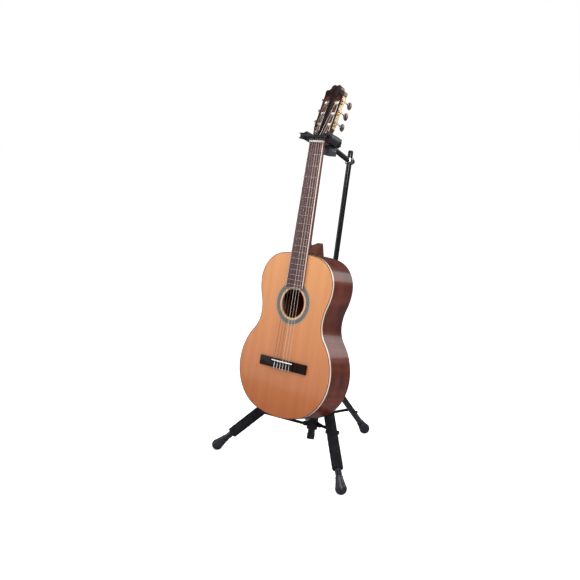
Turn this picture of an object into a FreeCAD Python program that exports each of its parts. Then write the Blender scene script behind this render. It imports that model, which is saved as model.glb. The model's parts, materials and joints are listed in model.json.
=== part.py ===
import FreeCAD, Part
import Sketcher
import math
import os

# A classical guitar hanging in a folding tripod stand. Millimetres, +Z up, the guitar faces -Y.
# The origin is on the floor, in the middle of the tripod's footprint.
#
# Three local frames are used:
#   guitar  X across, Y from the soundboard to the back, Z up the neck, zero at the saddle
#   head    the headstock's own frame: X across, Y into the head, Z along it, zero at the nut
#   mast    Z up the leaning mast, zero at its lower end, Y to the rear

doc = FreeCAD.newDocument("guitar_on_stand")
sheet = doc.addObject("Spreadsheet::Sheet", "dims")

dimensions = {
    "guitar_lean": 13.02, "guitar_y": -176.5, "saddle_height": 327.5,
    "mast_lean": 11.7, "mast_y": -55.8, "mast_foot": 58.7,
    "scale_length": 650, "body_length": 490, "tail_drop": 165,
    "lower_half": 178, "lower_at": 142, "waist_half": 119, "waist_at": 298,
    "upper_half": 139, "upper_at": 400,
    "corner_lower": 135, "flank_lower": 155, "waist_upper_bend": 130, "shoulder_bend": 85,
    "depth_heel": 94.5, "depth_tail": 95.3, "top_thick": 2.6, "back_thick": 3,
    "rib_thick": 2.2, "binding_height": 6, "lining_wide": 6, "lining_high": 13,
    "hole_radius": 43, "hole_at": 175, "rosette_radius": 66,
    "nut_width": 52, "joint_width": 62, "board_thick": 7, "board_end": 222, "fret_count": 19,
    "neck_thick": 14.5, "heel_gap": 0.05, "heel_rise": 37, "heel_back": 94.5,
    "head_tilt": 15.5, "head_thick": 19, "veneer_thick": 2,
    "slot_in": 9.6, "slot_out": 29, "slot_low": 30, "slot_high": 149,
    "roller_first": 60, "roller_pitch": 35, "roller_depth": 9, "roller_radius": 5,
    "roller_shaft": 3, "running_gap": 0.06, "gear_radius": 5, "gear_thick": 3.2,
    "worm_radius": 1.7, "worm_rise": 7, "plate_thick": 1.4, "plate_wide": 14,
    "button_long": 25, "button_wide": 19, "button_thick": 9, "button_out": 40,
    "plate_in": 33.6, "plate_near": 2.5, "plate_low": 46, "plate_high": 151, "gear_gap": 0.4,
    "bridge_wide": 182, "bridge_low": -22, "bridge_top": 6, "bridge_high": 5,
    "tie_wide": 86, "tie_high": 9, "tie_depth": 6.6,
    "saddle_wide": 80, "saddle_thick": 2.6, "saddle_high": 11.5, "saddle_sunk": 3,
    "string_spread_low": 58, "string_spread_high": 43,
    "mast_long": 890, "upper_radius": 8, "lower_radius": 11, "lower_long": 440,
    "hub_height": 203, "hub_reach": 27, "hub_radius": 17,
    "hub_low": 190, "hub_high": 236, "collar_radius": 16.5, "collar_low": 28, "collar_high": 76,
    "collar_front": 44.3, "collar_rear": 62.7, "collar_reach": 22, "lock_height": 60,
    "leg_radius": 9.5, "front_angle": 43.68, "front_long": 383.7, "rear_angle": 52.3,
    "rear_long": 311.5, "front_pin_at": 202, "rear_pin_at": 210,
    "foam_radius": 15, "foam_start": 46, "foam_end": 322, "foot_radius": 17, "foot_sleeve": 11.5,
    "brace_plane": 18, "brace_thick": 3, "brace_wide": 9, "pin_radius": 2.5, "eye_radius": 6,
    "knob_height": 452, "clutch_low": 418, "clutch_radius": 17,
    "clamp_height": 858, "clamp_radius": 11.5, "clamp_tall": 20, "clamp_arm": 8,
    "arm_radius": 13.2, "core_radius": 8, "arm_across": 42.4, "arm_height": 668, "arm_front": 13,
    "arm_tilt": 9.5, "pad_front": 10.5, "pad_back": 37, "bar_half": 46, "bar_front": 39.5,
    "bar_back": 52, "boss_half": 24, "boss_back": 73, "yoke_low": 647, "yoke_high": 670,
    "post_half": 13, "post_low": 622, "post_back": 76, "clamp_join": 645,
    "gate_radius": 5.2, "gate_inset": 10, "gate_tip": 6, "gate_drop": 4.5,
}
for line, (alias, value) in enumerate(dimensions.items(), start=1):
    sheet.set("A%d" % line, alias)
    sheet.set("B%d" % line, "%g" % value)
    sheet.setAlias("B%d" % line, alias)
doc.recompute()


def size(alias):
    return float(sheet.get(alias))


def at(x=0, y=0, z=0):
    return FreeCAD.Vector(x, y, z)


def place(x=0, y=0, z=0, axis=(0, 0, 1), angle=0):
    return FreeCAD.Placement(at(x, y, z), FreeCAD.Rotation(FreeCAD.Vector(*axis), angle))


guitarFrame = place(0, size("guitar_y"), size("saddle_height"), (1, 0, 0), -size("guitar_lean"))
headFrame = guitarFrame.multiply(place(0, -2, size("scale_length") + 1, (1, 0, 0), -size("head_tilt")))
mastFrame = place(0, size("mast_y"), size("mast_foot"), (1, 0, 0), -size("mast_lean"))
nodes = []


def keep(thing, frame):
    # registers a finished sub-part, which stands in one of the local frames
    thing.Label = thing.Name
    thing.Placement = frame
    nodes.append(thing)
    return thing


def feature(name, shape, frame):
    thing = doc.addObject("Part::Feature", name)
    thing.Shape = shape
    return keep(thing, frame)


def originPlane(body, role):
    return [plane for plane in body.Origin.OriginFeatures if plane.Role == role][0]


def sketchOn(body, role):
    sketch = body.newObject("Sketcher::SketchObject", body.Name + "_sketch")
    sketch.AttachmentSupport = (originPlane(body, role), [""])
    sketch.MapMode = "FlatFace"
    return sketch


def boundLength(sketch, constraint, expression):
    number = sketch.addConstraint(constraint)
    sketch.setExpression("Constraints[%d]" % number, expression)


def rectangleIn(sketch, left, right, low, high):
    # four lines whose sides are bound to expressions, given as (value, expression) pairs
    corners = [(left, low), (right, low), (right, high), (left, high)]
    for start, end in zip(corners, corners[1:] + corners[:1]):
        line = Part.LineSegment(at(start[0][0], start[1][0]), at(end[0][0], end[1][0]))
        number = sketch.addGeometry(line, False)
        for kind, edge in (("DistanceX", start[0]), ("DistanceY", start[1])):
            boundLength(sketch, Sketcher.Constraint(kind, number, 1, edge[0]), edge[1])
    for number in range(4):
        sketch.addConstraint(Sketcher.Constraint("Coincident", number, 2, (number + 1) % 4, 1))


def named(value):
    # a (value, expression) pair for a sheet alias, a negated alias or a plain number
    if isinstance(value, str):
        sign = -1 if value.startswith("-") else 1
        alias = value.lstrip("-")
        return sign * size(alias), ("-" if sign < 0 else "") + "dims." + alias
    return float(value), "%g" % value


def pad(body, sketch, length, both=False):
    solid = body.newObject("PartDesign::Pad", body.Name + "_pad")
    solid.Profile = sketch
    solid.setExpression("Length", length)
    solid.Midplane = both


def paddedBox(name, role, left, right, low, high, length, frame, both=False):
    # a rectangular block: a sketch on an origin plane and a pad
    body = doc.addObject("PartDesign::Body", name)
    sketch = sketchOn(body, role)
    rectangleIn(sketch, *[named(side) for side in (left, right, low, high)])
    pad(body, sketch, length, both)
    return keep(body, frame)


def turned(name, profile, frame):
    # a body of revolution about local Z from (radius, height) points
    body = doc.addObject("PartDesign::Body", name)
    sketch = sketchOn(body, "XZ_Plane")
    pairs = [(named(r), named(z)) for r, z in profile]
    for start, end in zip(pairs, pairs[1:] + pairs[:1]):
        line = Part.LineSegment(at(start[0][0], start[1][0]), at(end[0][0], end[1][0]))
        number = sketch.addGeometry(line, False)
        boundLength(sketch, Sketcher.Constraint("DistanceX", number, 1, start[0][0]), start[0][1])
        boundLength(sketch, Sketcher.Constraint("DistanceY", number, 1, start[1][0]), start[1][1])
    for number in range(len(pairs)):
        sketch.addConstraint(Sketcher.Constraint("Coincident", number, 2, (number + 1) % len(pairs), 1))
    solid = body.newObject("PartDesign::Revolution", name + "_turn")
    solid.Profile = sketch
    solid.ReferenceAxis = (sketch, ["V_Axis"])
    solid.Angle = 360
    return keep(body, frame)


def box(x0, x1, y0, y1, z0, z1):
    return Part.makeBox(x1 - x0, y1 - y0, z1 - z0, at(x0, y0, z0))


def rod(radius, start, end):
    axis = end - start
    return Part.makeCylinder(radius, axis.Length, start, axis)


def fused(first, *others):
    return first.multiFuse(list(others)).removeSplitter()


# the guitar's outline

def bend(wide, high):
    # the turn of an S between two upright tangents that lie wide and high apart
    return 2 * math.atan2(wide, high)


def outline(inset, left=True, right=True):
    # the body's outline in the XZ plane, inset by a distance, as tangent arcs from tail to heel
    tail = -size("tail_drop")
    lower, waist, upper = (size(edge) for edge in ("lower_half", "waist_half", "upper_half"))
    lowAt, midAt, highAt, top = (size(edge) for edge in ("lower_at", "waist_at", "upper_at", "body_length"))
    corner, flank = size("corner_lower"), size("flank_lower")
    waistUp, shoulder = size("waist_upper_bend"), size("shoulder_bend")
    tailBend = ((lower - corner) ** 2 + lowAt ** 2 - corner ** 2) / (2 * (lowAt - corner))
    rise = top - highAt
    heelBend = ((upper - shoulder) ** 2 + rise ** 2 - shoulder ** 2) / (2 * (rise - shoulder))
    turnLow = bend(lower - waist, midAt - lowAt)
    turnHigh = bend(upper - waist, highAt - midAt)
    waistLow = (midAt - lowAt) / math.sin(turnLow) - flank
    upperFlank = (highAt - midAt) / math.sin(turnHigh) - waistUp
    fromTail = math.atan2(lower - corner, tailBend - lowAt)
    fromHeel = math.atan2(upper - shoulder, highAt - (top - heelBend))
    # centre across, centre up, radius at this inset, first and last angle from +X
    arcs = [
        (0, tailBend, tailBend - inset, -math.pi / 2, fromTail - math.pi / 2),
        (lower - corner, lowAt, corner - inset, fromTail - math.pi / 2, 0),
        (lower - flank, lowAt, flank - inset, 0, turnLow),
        (waist + waistLow, midAt, waistLow + inset, math.pi + turnLow, math.pi),
        (waist + waistUp, midAt, waistUp + inset, math.pi, math.pi - turnHigh),
        (upper - upperFlank, highAt, upperFlank - inset, -turnHigh, 0),
        (upper - shoulder, highAt, shoulder - inset, 0, math.pi / 2 - fromHeel),
        (0, top - heelBend, heelBend - inset, math.pi / 2 - fromHeel, math.pi / 2),
    ]
    edges = []
    for side in [hand for hand, wanted in ((1, right), (-1, left)) if wanted]:
        for across, up, radius, first, last in arcs:
            points = []
            for angle in (first, (first + last) / 2, last):
                points.append(at(side * (across + radius * math.cos(angle)), 0,
                                 tail + up + radius * math.sin(angle)))
            edges.append(Part.Arc(*points).toShape())
    if not (left and right):
        edges.append(Part.makeLine(at(0, 0, tail + inset), at(0, 0, tail + top - inset)))
    return Part.Wire(Part.__sortEdges__(edges))


def plate(inset, front, back, left=True, right=True):
    solid = Part.Face(outline(inset, left, right)).extrude(at(0, back - front, 0))
    return solid.translated(at(0, front, 0))


def ring(outer, inner, front, back, left=True, right=True):
    solid = plate(outer, front, back, left, right)
    return solid.cut(plate(inner, front - 1, back + 1))


def depthAt(height):
    # the body's depth from the soundboard to the back, which tapers to the heel
    share = (height + size("tail_drop")) / size("body_length")
    return size("depth_tail") + (size("depth_heel") - size("depth_tail")) * share


def between(solid, front, back):
    # the part of a solid between two distances in front of the back's outer plane
    low, high = -400, 500
    points = [at(-300, depthAt(low) - front, low), at(-300, depthAt(high) - front, high),
              at(-300, depthAt(high) - back, high), at(-300, depthAt(low) - back, low)]
    slab = Part.Face(Part.makePolygon(points + points[:1])).extrude(at(600, 0, 0))
    return solid.common(slab)


rib = size("rib_thick")
top = size("top_thick")
back = size("back_thick")
edgeHigh = size("binding_height")
tall = 130
heelEnd = size("body_length") - size("tail_drop")
tailEnd = -size("tail_drop")

soundhole = rod(size("hole_radius"), at(0, -1, size("hole_at")), at(0, top + 1, size("hole_at")))
inlay = rod(size("rosette_radius"), at(0, -1, size("hole_at")), at(0, 0.8, size("hole_at")))
innerInlay = rod(size("hole_radius") + 3, at(0, -2, size("hole_at")), at(0, 2, size("hole_at")))
inlayRing = inlay.cut(innerInlay)
feature("soundboard", plate(rib, 0, top).cut(soundhole).cut(inlayRing), guitarFrame)
underBoard = box(-40, 40, -9, 0, size("board_end"), heelEnd)
feature("rosette", inlayRing.common(box(-80, 80, 0, 2, 0, 300)).cut(underBoard), guitarFrame)
feature("back_plate", between(plate(rib, 0, tall), back, 0), guitarFrame)
for name, left in (("side_bass", True), ("side_treble", False)):
    wall = ring(0, rib, edgeHigh, tall, left, not left)
    feature(name, between(wall, tall, edgeHigh), guitarFrame)
feature("top_binding", ring(0, rib, 0, edgeHigh), guitarFrame)
feature("back_binding", between(ring(0, rib, 0, tall), edgeHigh, 0), guitarFrame)

blockHalf = 36
heelBlock = box(-blockHalf, blockHalf, top, tall, heelEnd - 48, heelEnd + 10).common(plate(rib, 0, tall))
tailBlock = box(-32, 32, top, tall, tailEnd - 10, tailEnd + 16).common(plate(rib, 0, tall))
feature("neck_block", between(heelBlock, tall, back), guitarFrame)
feature("tail_block", between(tailBlock, tall, back), guitarFrame)
liningRing = ring(rib, rib + size("lining_wide"), top, tall).cut(heelBlock).cut(tailBlock)
upperLining = liningRing.common(box(-300, 300, top, top + size("lining_high"), -300, 500))
lowerLining = between(liningRing, back + size("lining_high"), back)
feature("linings", Part.makeCompound([upperLining, lowerLining]), guitarFrame)

# fan braces and two cross bars under the soundboard, three cross bars on the back
inside = plate(rib + size("lining_wide") + 0.5, 0, tall)
fans = []
for index in range(-2, 3):
    bar = box(-3, 3, top, top + 5, -125, 85)
    bar.rotate(at(0, 0, 85), at(0, 1, 0), -index * 5.5)
    fans.append(bar.translated(at(index * 19, 0, 0)))
bars = [box(-300, 300, top, top + 14, height, height + 9) for height in (104, 232)]
feature("soundboard_braces", Part.makeCompound(fans + bars).common(inside), guitarFrame)
ledges = [box(-300, 300, 0, tall, height, height + 8) for height in (-60, 90, 230)]
feature("back_braces", between(Part.makeCompound(ledges).common(inside), back + 12, back), guitarFrame)


# neck, headstock and fingerboard

scale = size("scale_length")
boardHigh = size("board_thick")


def halfWidth(height):
    # half the fingerboard's width, which widens from the nut to the body
    narrow, wide = size("nut_width") / 2, size("joint_width") / 2
    return narrow + (wide - narrow) * (scale - height) / (scale - heelEnd)


def neckSection(height, deep):
    # a D-shaped section of the neck behind the fingerboard
    half = halfWidth(height) - 0.3
    flat = Part.makeLine(at(half, 0, height), at(-half, 0, height))
    round_ = Part.BSplineCurve()
    round_.interpolate([at(-half, 0, height), at(-half * 0.8, deep * 0.72, height), at(0, deep, height),
                        at(half * 0.8, deep * 0.72, height), at(half, 0, height)])
    return Part.Wire([flat, round_.toShape()])


deepNut = size("neck_thick")
shaft = Part.makeLoft([neckSection(scale + 1, deepNut), neckSection(heelEnd + 60, deepNut + 3),
                       neckSection(heelEnd + size("heel_gap"), deepNut + 4)], True)
heelGap = heelEnd + size("heel_gap")
heelBack = size("heel_back")
heelTop = heelEnd + size("heel_rise")
heelSide = Part.Wire([
    Part.makeLine(at(0, 0, heelGap), at(0, 0, heelEnd + 60)),
    Part.makeLine(at(0, 0, heelEnd + 60), at(0, 14, heelTop)),
    Part.Arc(at(0, 14, heelTop), at(0, 20, heelEnd + 27), at(0, 34, heelEnd + 24)).toShape(),
    Part.Arc(at(0, 34, heelEnd + 24), at(0, 60, heelEnd + 28), at(0, 82, heelTop)).toShape(),
    Part.makeLine(at(0, 82, heelTop), at(0, heelBack, heelGap)),
    Part.makeLine(at(0, heelBack, heelGap), at(0, 0, heelGap)),
])
heelPlan = Part.Wire([
    Part.makeLine(at(-29, 0, heelEnd), at(29, 0, heelEnd)),
    Part.Arc(at(29, 0, heelEnd), at(17, 34, heelEnd), at(11, heelBack, heelEnd)).toShape(),
    Part.makeLine(at(11, heelBack, heelEnd), at(-11, heelBack, heelEnd)),
    Part.Arc(at(-11, heelBack, heelEnd), at(-17, 34, heelEnd), at(-29, 0, heelEnd)).toShape(),
])
heel = Part.Face(heelSide).extrude(at(60, 0, 0)).translated(at(-30, 0, 0))
heel = heel.common(Part.Face(heelPlan).extrude(at(0, 0, 90)))


def headOutline():
    # the headstock's outline in its own XZ plane: a waist, upright flanks and a three-lobed crest
    points = [(26, 0), (26.6, 14), (28.6, 32), (31.4, 44), (32.8, 56)]
    curve = Part.BSplineCurve()
    curve.interpolate([at(x, 0, z) for x, z in points])
    flank = [curve.toShape(), Part.makeLine(at(32.8, 0, 56), at(33.4, 0, 152)),
             Part.makeLine(at(33.4, 0, 152), at(35, 0, 163))]
    shoulder = Part.Arc(at(35, 0, 163), at(31, 0, 168), at(26, 0, 168.5)).toShape()
    hollow = Part.Arc(at(26, 0, 168.5), at(19.5, 0, 172), at(17.5, 0, 179)).toShape()
    lobe = Part.Arc(at(17.5, 0, 179), at(10, 0, 185.3), at(0, 0, 182)).toShape()
    half = flank + [shoulder, hollow, lobe]
    mirrored = [edge.mirror(at(), at(1, 0, 0)) for edge in half]
    return Part.Wire(Part.__sortEdges__(half + mirrored + [Part.makeLine(at(-26, 0, 0), at(26, 0, 0))]))


def slotCutter(side):
    inner, outer = size("slot_in"), size("slot_out")
    radius = (outer - inner) / 2
    middle = side * (inner + outer) / 2
    low, high = size("slot_low") + radius, size("slot_high") - radius
    ends = [rod(radius, at(middle, -30, z), at(middle, 60, z)) for z in (low, high)]
    return fused(box(middle - radius, middle + radius, -30, 60, low, high), *ends)


rollerHeights = [size("roller_first") + index * size("roller_pitch") for index in range(3)]
rollerDeep = size("roller_depth")
headBoard = Part.Face(headOutline()).extrude(at(0, size("head_thick") - size("veneer_thick"), 0))
headBoard.translate(at(0, size("veneer_thick"), 0))
veneer = Part.Face(headOutline()).extrude(at(0, size("veneer_thick"), 0))
veneer = veneer.common(box(-50, 50, -1, 5, 7, 200))
for side in (-1, 1):
    headBoard = headBoard.cut(slotCutter(side))
    veneer = veneer.cut(slotCutter(side))
    for height in rollerHeights:
        bore = rod(size("roller_shaft") + size("running_gap"), at(side * 5, rollerDeep, height),
                   at(side * 50, rollerDeep, height))
        headBoard = headBoard.cut(bore)
feature("head_veneer", veneer, headFrame)
tilted = headBoard.copy()
tilted.Placement = guitarFrame.inverse().multiply(headFrame)
neck = shaft.fuse(heel).fuse(tilted).removeSplitter()
feature("neck", neck.cut(box(-40, 40, -40, 0, heelEnd, scale + 5.3)), guitarFrame)

boardEnd = size("board_end")
nutHalf = size("nut_width") / 2
boardCorners = [at(-halfWidth(boardEnd), 0, boardEnd), at(halfWidth(boardEnd), 0, boardEnd),
                at(nutHalf, 0, scale), at(-nutHalf, 0, scale)]
boardWire = Part.makePolygon(boardCorners + boardCorners[:1])
board = Part.Face(boardWire).extrude(at(0, -boardHigh, 0))
endCut = rod(size("hole_radius") + 4, at(0, -20, size("hole_at")), at(0, 5, size("hole_at")))
feature("fingerboard", board.cut(endCut), guitarFrame)
wires = []
for number in range(1, int(size("fret_count")) + 1):
    height = scale * 2 ** (-number / 12)
    half = halfWidth(height) - 0.6
    wire = rod(1.2, at(-half, -boardHigh, height), at(half, -boardHigh, height))
    wires.append(wire.common(box(-60, 60, -20, -boardHigh, 0, 900)))
feature("frets", Part.makeCompound(wires), guitarFrame)
paddedBox("nut", "XZ_Plane", -25.8, 25.8, scale + 0.05, scale + 5.2, "dims.board_thick + 2",
          guitarFrame)

# the bridge: two thin wings, a tie block in the middle and the saddle in its slot
wingHalf = size("bridge_wide") / 2
tieHalf = size("tie_wide") / 2
saddleHalf = size("saddle_wide") / 2
tieHigh = size("tie_high")
tieDeep = size("tie_depth")
slotHalf = size("saddle_thick") / 2 + 0.05
bridgeLow = size("bridge_low")
wings = box(-wingHalf, wingHalf, -size("bridge_high"), 0, bridgeLow, size("bridge_top"))
tieBlock = box(-tieHalf, tieHalf, -tieHigh, 0, bridgeLow + 1, -7)
saddleBed = box(-tieHalf, tieHalf, -tieHigh, 0, -5.5, 4)
saddleSlot = box(-saddleHalf - 0.05, saddleHalf + 0.05, -20, -size("saddle_sunk"), -slotHalf, slotHalf)
bridge = fused(wings, tieBlock, saddleBed).cut(saddleSlot)
tieHoles = [rod(0.9, at(x, -tieDeep, bridgeLow), at(x, -tieDeep, -6)) for x in
            [size("string_spread_low") * (index / 5 - 0.5) for index in range(6)]]
feature("bridge", bridge.cut(Part.makeCompound(tieHoles)), guitarFrame)
paddedBox("saddle", "XY_Plane", -saddleHalf, saddleHalf, "-saddle_high", "-saddle_sunk",
          "dims.saddle_thick", guitarFrame, both=True)


def stringShapes(numbers, radii):
    # each string runs from the tie block over saddle and nut and down to its roller
    shapes = []
    toHead = headFrame.inverse().multiply(guitarFrame)
    for number in numbers:
        share = number / 5 - 0.5
        low = size("string_spread_low") * share
        high = size("string_spread_high") * share
        radius = radii[number % 3]
        side = -1 if number < 3 else 1
        tie = at(low, -tieDeep, bridgeLow + 1)
        tieTop = at(low, -tieHigh - radius, -6)
        saddleTop = at(low, -size("saddle_high") - radius, 0)
        nutTop = at(high, -boardHigh - 2.05 - radius, scale + 2)
        roller = rollerHeights[number] if number < 3 else rollerHeights[5 - number]
        end = at(side * (12 + 3 * (number % 3)), rollerDeep - size("roller_radius") - radius - 0.4, roller)
        tail = rod(radius, toHead.multVec(nutTop), end)
        tail.Placement = toHead.inverse().multiply(tail.Placement)
        shapes += [rod(radius, tie, tieTop), rod(radius, tieTop, saddleTop),
                   rod(radius, saddleTop, nutTop), tail]
    return Part.makeCompound(shapes)


feature("bass_strings", stringShapes((0, 1, 2), (0.55, 0.5, 0.45)), guitarFrame)
feature("treble_strings", stringShapes((3, 4, 5), (0.5, 0.4, 0.4)), guitarFrame)


# tuning machines, in the head's frame

plateIn = size("plate_in")
plateOut = plateIn + size("plate_thick")
plateNear = size("plate_near")
gearIn = plateOut + size("gear_gap")
gearOut = gearIn + size("gear_thick")
wormAcross = (gearIn + gearOut) / 2
shaftBore = size("roller_shaft") + size("running_gap")
wormBore = size("worm_radius") + size("running_gap")
plates = []
screws = []
for side in (-1, 1):
    strip = box(plateIn, plateOut, plateNear, plateNear + size("plate_wide"), size("plate_low"),
                size("plate_high"))
    for height in rollerHeights:
        worm = height + size("worm_rise")
        for low in (1.2, 13.6):
            strip = strip.fuse(box(plateOut - 0.2, wormAcross + 3, low, low + 2.6, worm - 2.8, worm + 3))
        strip = strip.cut(rod(shaftBore, at(30, rollerDeep, height), at(45, rollerDeep, height)))
        strip = strip.cut(rod(wormBore, at(wormAcross, -5, worm), at(wormAcross, 25, worm)))
    for height in (49, 82, 118, 148):
        screws.append(rod(2.2, at(side * plateOut, 6, height), at(side * (plateOut + 1), 6, height)))
    plates.append(strip.removeSplitter() if side > 0 else strip.removeSplitter().mirror(at(), at(1, 0, 0)))
feature("tuner_plates", Part.makeCompound(plates + screws), headFrame)


def oval(across, deep, tall, centre):
    # an ellipsoid from its full axes along X, Y and Z
    matrix = FreeCAD.Matrix()
    matrix.scale(across / 2, deep / 2, tall / 2)
    return Part.makeSphere(1).transformGeometry(matrix).translated(centre)


for number in range(6):
    side = -1 if number < 3 else 1
    height = rollerHeights[number % 3]
    worm = height + size("worm_rise")
    button = oval(size("button_thick"), size("button_wide"), size("button_long"),
                  at(side * wormAcross, size("button_out"), worm))
    stem = rod(size("worm_radius"), at(side * wormAcross, 0.4, worm), at(side * wormAcross, 36, worm))
    feature("tuner_key_%d" % (number + 1), stem.fuse(button).removeSplitter(), headFrame)
    barrel = rod(size("roller_radius"), at(side * 10, rollerDeep, height),
                 at(side * 28.6, rollerDeep, height))
    axle = rod(size("roller_shaft"), at(side * 6, rollerDeep, height), at(side * gearOut, rollerDeep, height))
    gear = rod(size("gear_radius"), at(side * gearIn, rollerDeep, height),
               at(side * gearOut, rollerDeep, height))
    feature("string_roller_%d" % (number + 1), fused(barrel, axle, gear), headFrame)


# the mast

lowerLong = size("lower_long")
turned("mast_lower_tube", [(0, -3), (12, -3), (12, 14), ("lower_radius", 14), ("lower_radius", "lower_long"),
                           (8.1, "lower_long"), (8.1, 4), (0, 4)], mastFrame)
turned("mast_upper_tube", [(6.5, 60), ("upper_radius", 60), ("upper_radius", 880), (6.5, 880)], mastFrame)
turned("mast_cap", [(0, 874), (6.5, 874), (6.5, 880), (8, 880), (8, 886), (6, "mast_long"), (0, "mast_long")],
       mastFrame)
turned("height_clutch", [("lower_radius", "clutch_low"), (15, "clutch_low"), ("clutch_radius", 426),
                         ("clutch_radius", 470), (14, 486), (8.4, 486), (8.4, lowerLong + 0.05),
                         ("lower_radius", lowerLong + 0.05)], mastFrame)
knobHeight = size("knob_height")
knobFoot = size("clutch_radius") + 0.3
knob = rod(9, at(0, 19, knobHeight), at(0, 31, knobHeight))
for turn in range(3):
    lobe = rod(5.5, at(0, 20, knobHeight + 10), at(0, 30, knobHeight + 10))
    lobe.rotate(at(0, 0, knobHeight), at(0, 1, 0), 120 * turn)
    knob = knob.fuse(lobe)
knob = knob.fuse(rod(3, at(0, knobFoot, knobHeight), at(0, 20, knobHeight)))
feature("clutch_knob", knob.removeSplitter(), mastFrame)


# the yoke, in the guitar's frame

armAcross = size("arm_across")
armHeight = size("arm_height")
armFront = -size("arm_front")
armRadius = size("arm_radius")
coreRadius = size("core_radius")
barFront = size("bar_front")
pinRadius = size("pin_radius")
pinBore = pinRadius + size("running_gap")
clampHeight = size("clamp_height")
clampLow = clampHeight - size("clamp_tall") / 2
clampHigh = clampHeight + size("clamp_tall") / 2
postHalf = size("post_half")
postBack = size("post_back")
tubeBore = rod(size("upper_radius"), at(0, 0, clampLow - 10), at(0, 0, clampHigh + 10))
sleeve = rod(size("clamp_radius"), at(0, 0, clampLow), at(0, 0, clampHigh))
sleeve = sleeve.fuse(rod(7, at(0, 0, clampHeight), at(0, 18, clampHeight)))
mastInGuitar = guitarFrame.inverse().multiply(mastFrame)
sleeve.Placement = mastInGuitar.multiply(sleeve.Placement)
tubeBore.Placement = mastInGuitar.multiply(tubeBore.Placement)
armEnd = mastInGuitar.multVec(at(0, -2, clampHeight))
armStart = at(0, postBack, size("clamp_join"))
clamp = fused(sleeve, rod(size("clamp_arm"), armStart, armEnd)).cut(tubeBore)
feature("yoke_clamp", clamp, guitarFrame)
post = box(-postHalf, postHalf, barFront + 2, postBack, size("post_low"), size("yoke_low") - 0.2)
feature("yoke_hub", post.cut(clamp), guitarFrame)
barHalf = size("bar_half")
bossHalf = size("boss_half")
barBack = size("bar_back")
yokeLow, yokeHigh = size("yoke_low"), size("yoke_high")
yokeBody = fused(box(-barHalf, barHalf, barFront, barBack, yokeLow, yokeHigh),
                 box(-bossHalf, bossHalf, barBack, size("boss_back"), yokeLow, yokeHigh))
gateAt = armFront - size("gate_inset")
gateHigh = armHeight - size("gate_drop")
lugFront = armFront - 17
lugHalf = 7
lugLow, lugHigh = armHeight - 13, armHeight + 4
slotLow, slotHigh = gateHigh - 5.5, gateHigh + 5.5


def armPoint(side, deep):
    # a point on an arm's axis, which drops to the rear
    drop = (deep - armFront) * math.tan(math.radians(size("arm_tilt")))
    return at(side * armAcross, deep, armHeight - drop)


for side in (-1, 1):
    across = side * armAcross
    core = rod(coreRadius, armPoint(side, armFront - 1), armPoint(side, barBack - 4))
    lugs = box(across - lugHalf, across + lugHalf, lugFront, armFront, lugLow, lugHigh)
    lugs = lugs.cut(box(across - 20, across + 20, lugFront - 3, armFront - 2, slotLow, slotHigh))
    pivot = rod(pinRadius, at(across, gateAt, lugLow), at(across, gateAt, lugHigh))
    yokeBody = fused(yokeBody, core, lugs, pivot)
feature("yoke_body", yokeBody, guitarFrame)
for name, side in (("left", -1), ("right", 1)):
    across = side * armAcross
    cover = rod(armRadius, armPoint(side, -size("pad_front")), armPoint(side, size("pad_back")))
    cover = cover.cut(rod(coreRadius, armPoint(side, armFront - 1), armPoint(side, barBack)))
    feature("yoke_pad_" + name, cover, guitarFrame)
    gateHub = rod(6.5, at(across, gateAt, slotLow + 0.3), at(across, gateAt, slotHigh - 0.3))
    tipAt = at(side * size("gate_tip"), gateAt + 3, gateHigh)
    finger = rod(size("gate_radius"), at(across, gateAt, gateHigh), tipAt)
    gate = gateHub.fuse(finger).fuse(Part.makeSphere(size("gate_radius"), tipAt))
    gate = gate.cut(rod(pinBore, at(across, gateAt, lugLow), at(across, gateAt, lugHigh)))
    feature("gate_" + name, gate, guitarFrame)


# the tripod

reach = size("hub_reach")
hubHeight = size("hub_height")
lowerRadius = size("lower_radius")
plane = size("brace_plane")
thick = size("brace_thick")
legRadius = size("leg_radius")
collarReach = size("collar_reach")
legs = [("front_left", -150, "front"), ("front_right", -30, "front"), ("rear", 90, "rear")]


def aroundMast(shape, azimuth):
    shape.rotate(at(), at(0, 0, 1), azimuth)
    return shape


hub = rod(size("hub_radius"), at(0, 0, size("hub_low")), at(0, 0, size("hub_high")))
earThick = 4
earIn = 4.3
for name, azimuth, kind in legs:
    for low in (-earIn - earThick, earIn):
        ear = fused(box(12, reach, low, low + earThick, hubHeight - 11, hubHeight + 11),
                    rod(11, at(reach, low, hubHeight), at(reach, low + earThick, hubHeight)))
        hub = hub.fuse(aroundMast(ear, azimuth))
    pinEnd = earIn + earThick + 1.2
    pin = rod(pinRadius, at(reach, -pinEnd, hubHeight), at(reach, pinEnd, hubHeight))
    hub = hub.fuse(aroundMast(pin, azimuth))
hub = hub.cut(rod(lowerRadius, at(), at(0, 0, lowerLong)))
feature("leg_hub", hub.removeSplitter(), mastFrame)

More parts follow.
